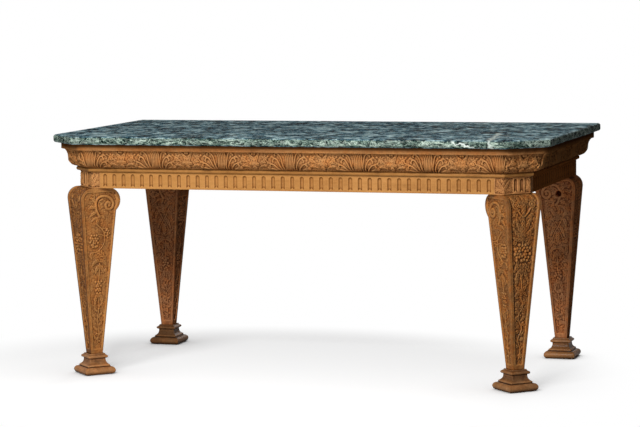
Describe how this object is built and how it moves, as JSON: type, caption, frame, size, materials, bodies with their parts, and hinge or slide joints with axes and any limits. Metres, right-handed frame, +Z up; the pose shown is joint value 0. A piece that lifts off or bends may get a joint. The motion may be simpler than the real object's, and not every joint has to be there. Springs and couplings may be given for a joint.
{
  "type": "pier table",
  "caption": "Rectangular carved wooden pier table with canted front corners, loose green marble slab, fluted apron, deep cornice and tapered scroll-topped legs on moulded feet.",
  "frame": {"origin": "on the floor, under the middle of the marble slab's plan", "axes": "+X along the front to the right, +Y to the back, +Z up"},
  "size_m": [1.812, 0.954, 0.86],
  "materials": {
    "marble": "polished, streaked green",
    "carved_wood": "waxed honey brown, darker in the carving",
    "foot_wood": "worn, grey-brown",
    "frame_wood": "unpolished"
  },
  "bodies": {
    "table_frame": {"front_rail": "carved_wood", "left_end_rail": "carved_wood", "right_end_rail": "carved_wood", "front_left_post": "carved_wood", "front_right_post": "carved_wood", "front_cornice": "carved_wood", "left_cant_cornice": "carved_wood", "right_cant_cornice": "carved_wood", "left_end_cornice": "carved_wood", "right_end_cornice": "carved_wood", "front_bead": "carved_wood", "left_cant_bead": "carved_wood", "right_cant_bead": "carved_wood", "left_end_bead": "carved_wood", "right_end_bead": "carved_wood", "front_left_leg": "carved_wood", "front_right_leg": "carved_wood", "back_left_leg": "carved_wood", "back_right_leg": "carved_wood", "front_left_foot": "foot_wood", "front_right_foot": "foot_wood", "back_left_foot": "foot_wood", "back_right_foot": "foot_wood", "back_rail": "frame_wood", "back_left_post": "frame_wood", "back_right_post": "frame_wood", "left_bearer": "frame_wood", "middle_bearer": "frame_wood", "right_bearer": "frame_wood", "glue_blocks": "frame_wood", "leg_pegs": "frame_wood"},
    "marble_slab": {"marble_top": "marble"}
  },
  "joints": [
    {"name": "top_lift", "type": "slide", "parent": "table_frame", "child": "marble_slab", "axis": [0, 0, 1], "range_m": [0, 0.15]}
  ]
}
